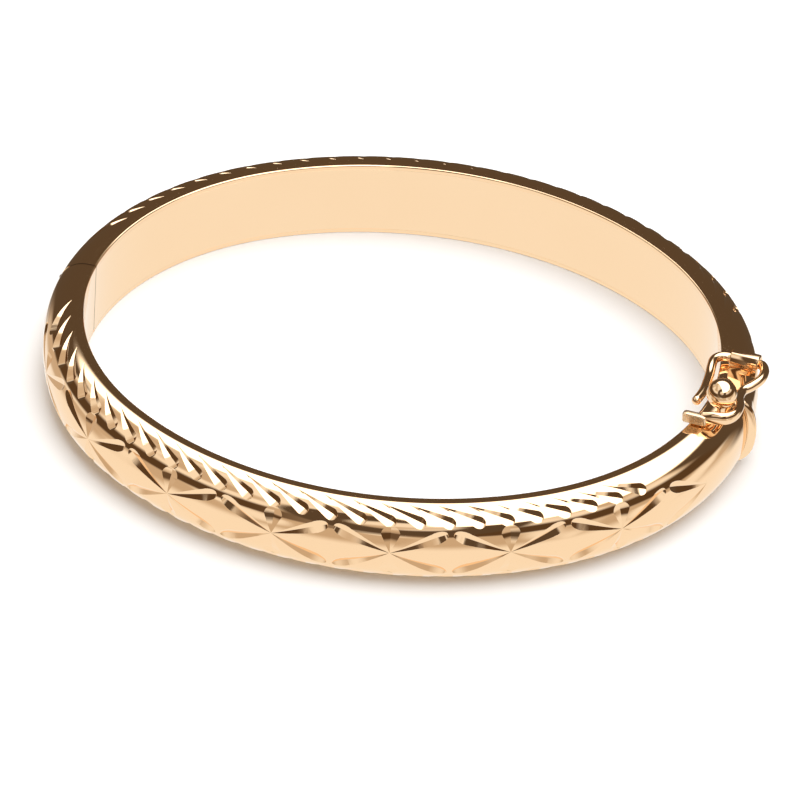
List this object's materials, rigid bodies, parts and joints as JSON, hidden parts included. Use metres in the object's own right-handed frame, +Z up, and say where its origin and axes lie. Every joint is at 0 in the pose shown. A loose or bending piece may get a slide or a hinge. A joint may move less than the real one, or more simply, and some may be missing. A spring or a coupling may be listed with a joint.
{
  "type": "bangle bracelet",
  "caption": "Hinged oval bangle bracelet with hollow D-section halves, a snap tongue with push ball, and a figure-eight safety catch.",
  "frame": {"origin": "middle of the oval opening, on the plane of the lower rim that the bangle rests on", "axes": "+X from the hinge to the clasp along the oval's long way, +Y from the front half to the back half, +Z up across the band's width"},
  "size_m": [0.0683, 0.0614, 0.0113],
  "materials": {
    "polished_gold": "mirror polish with bright diamond cuts",
    "inner_gold": "mirror polish, lightly worn by the wrist",
    "fitting_gold": "polished",
    "spring_gold": "satin, as rolled",
    "wire_gold": "polished drawn wire",
    "textured_gold": "finely stippled grip"
  },
  "bodies": {
    "back_half": {"back_shell": "polished_gold", "back_inner_band": "inner_gold", "back_hinge_plate": "fitting_gold", "back_mouth_plate": "fitting_gold", "middle_knuckle": "fitting_gold", "hinge_pin": "fitting_gold", "clasp_collar": "polished_gold", "catch_bracket": "fitting_gold"},
    "front_half": {"front_shell": "polished_gold", "front_inner_band": "inner_gold", "front_hinge_plate": "fitting_gold", "front_clasp_plate": "fitting_gold", "upper_knuckle": "fitting_gold", "lower_knuckle": "fitting_gold", "tongue_base_leaf": "spring_gold"},
    "spring_tongue": {"tongue_spring_leaf": "spring_gold", "ball_stem": "fitting_gold", "push_ball": "fitting_gold"},
    "safety_catch": {"catch_wire": "wire_gold", "thumb_tab": "textured_gold"}
  },
  "joints": [
    {"name": "main_hinge", "type": "hinge", "parent": "back_half", "child": "front_half", "pos_m": [-0.03275, 0, 0.00382], "axis": [0, 0, -1], "range_deg": [0, 50]},
    {"name": "ball_press", "type": "hinge", "parent": "front_half", "child": "spring_tongue", "pos_m": [0.03172, 0.00545, 0.00278], "axis": [1, 0, 0], "range_deg": [0, 3]},
    {"name": "catch_lift", "type": "hinge", "parent": "back_half", "child": "safety_catch", "pos_m": [0.03185, 0.0053, 0.00827], "axis": [-0.9986, 0.0523, 0], "range_deg": [0, 115]}
  ]
}
